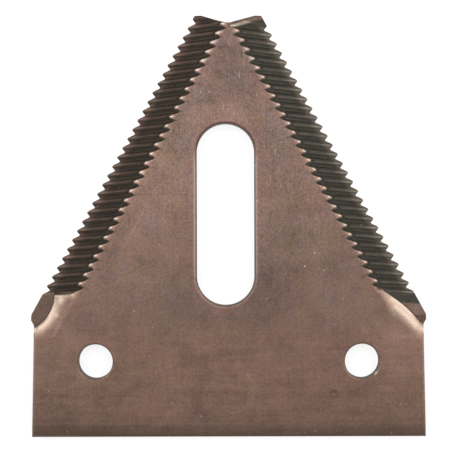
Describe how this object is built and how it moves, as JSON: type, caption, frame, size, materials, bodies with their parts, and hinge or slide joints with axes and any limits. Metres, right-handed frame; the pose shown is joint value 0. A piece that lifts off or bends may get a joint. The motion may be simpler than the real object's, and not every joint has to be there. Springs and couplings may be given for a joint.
{
  "type": "mower sickle section",
  "caption": "Flat triangular steel cutting section for a mower's sickle bar, with bevelled serrated edges, a long slot and bolt holes across its square heel.",
  "frame": {"origin": "midway between the two bolt holes, on the flat underside", "axes": "+Y from the bolt line towards the tip, +Z out of the serrated face, X across the plate"},
  "size_m": [0.0762, 0.0808, 0.003],
  "materials": {
    "hardened_steel": "satin, browned by hardening, darker in the serrations"
  },
  "bodies": {
    "root": {"sickle_section": "hardened_steel"}
  },
  "joints": []
}
